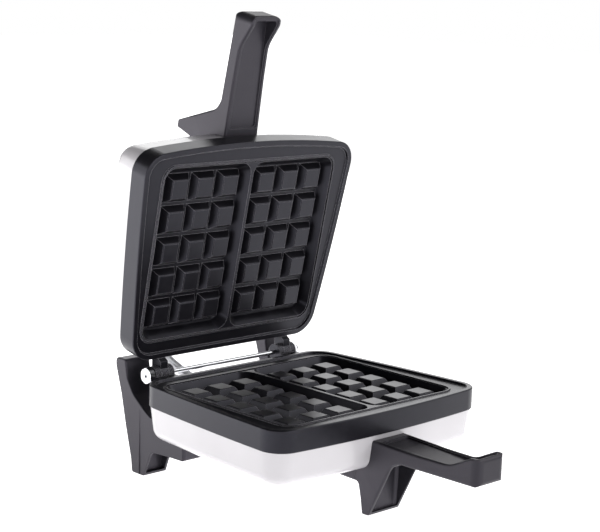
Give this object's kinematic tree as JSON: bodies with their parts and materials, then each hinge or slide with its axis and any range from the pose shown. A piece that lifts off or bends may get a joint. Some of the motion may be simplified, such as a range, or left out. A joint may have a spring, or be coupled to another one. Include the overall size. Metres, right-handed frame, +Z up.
{
  "type": "waffle maker",
  "caption": "Rectangular electric waffle maker with hinged non-stick cast plates, white shells and matching front handles with feet.",
  "frame": {"origin": "centre of the front foot's sole, on the floor", "axes": "+Z up, +Y from the front handle towards the hinge, +X to the right seen from the front, along the hinge axis"},
  "size_m": [0.2392, 0.3572, 0.3951],
  "materials": {
    "white_shell": "moulded gloss",
    "nonstick_plate": "satin non-stick coating on cast aluminium",
    "charcoal_moulding": "fine matte texture",
    "plated_steel": "bright plated",
    "element_steel": "heat-dulled",
    "screw_steel": "zinc plated",
    "reflector_aluminium": "bright rolled",
    "thermostat_body": "ceramic-filled",
    "fuse_body": "glass-fibre sleeve",
    "terminal_plastic": "moulded",
    "gland_plastic": "moulded",
    "conduit_metal": "wound metal sleeve, satin",
    "lamp_lens": "translucent"
  },
  "bodies": {
    "base": {"lower_shell": "white_shell", "lower_plate": "nonstick_plate", "lower_handle": "charcoal_moulding", "rear_stand_right": "charcoal_moulding", "rear_stand_left": "charcoal_moulding", "hinge_bolt": "plated_steel", "hinge_cap_nut": "plated_steel", "hinge_washers": "plated_steel", "lower_element": "element_steel", "lower_element_clamps": "screw_steel", "lower_reflector": "reflector_aluminium", "thermostat": "thermostat_body", "thermal_fuse": "fuse_body", "terminal_block": "terminal_plastic", "cord_gland": "gland_plastic", "lower_plate_screws": "screw_steel", "lower_handle_screws": "screw_steel", "stand_screws": "screw_steel", "lower_conduit_gland": "plated_steel", "flexible_conduit": "conduit_metal"},
    "lid": {"upper_shell": "white_shell", "upper_plate": "nonstick_plate", "upper_handle": "charcoal_moulding", "upper_element": "element_steel", "upper_element_clamps": "screw_steel", "upper_reflector": "reflector_aluminium", "upper_plate_screws": "screw_steel", "upper_handle_screws": "screw_steel", "upper_conduit_gland": "plated_steel", "pilot_lamp": "lamp_lens"}
  },
  "joints": [
    {"name": "lid_hinge", "type": "hinge", "parent": "base", "child": "lid", "pos_m": [0, 0.19625, 0.0858], "axis": [1, 0, 0], "range_deg": [-16, 79.03], "deforming": ["flexible_conduit"]}
  ]
}
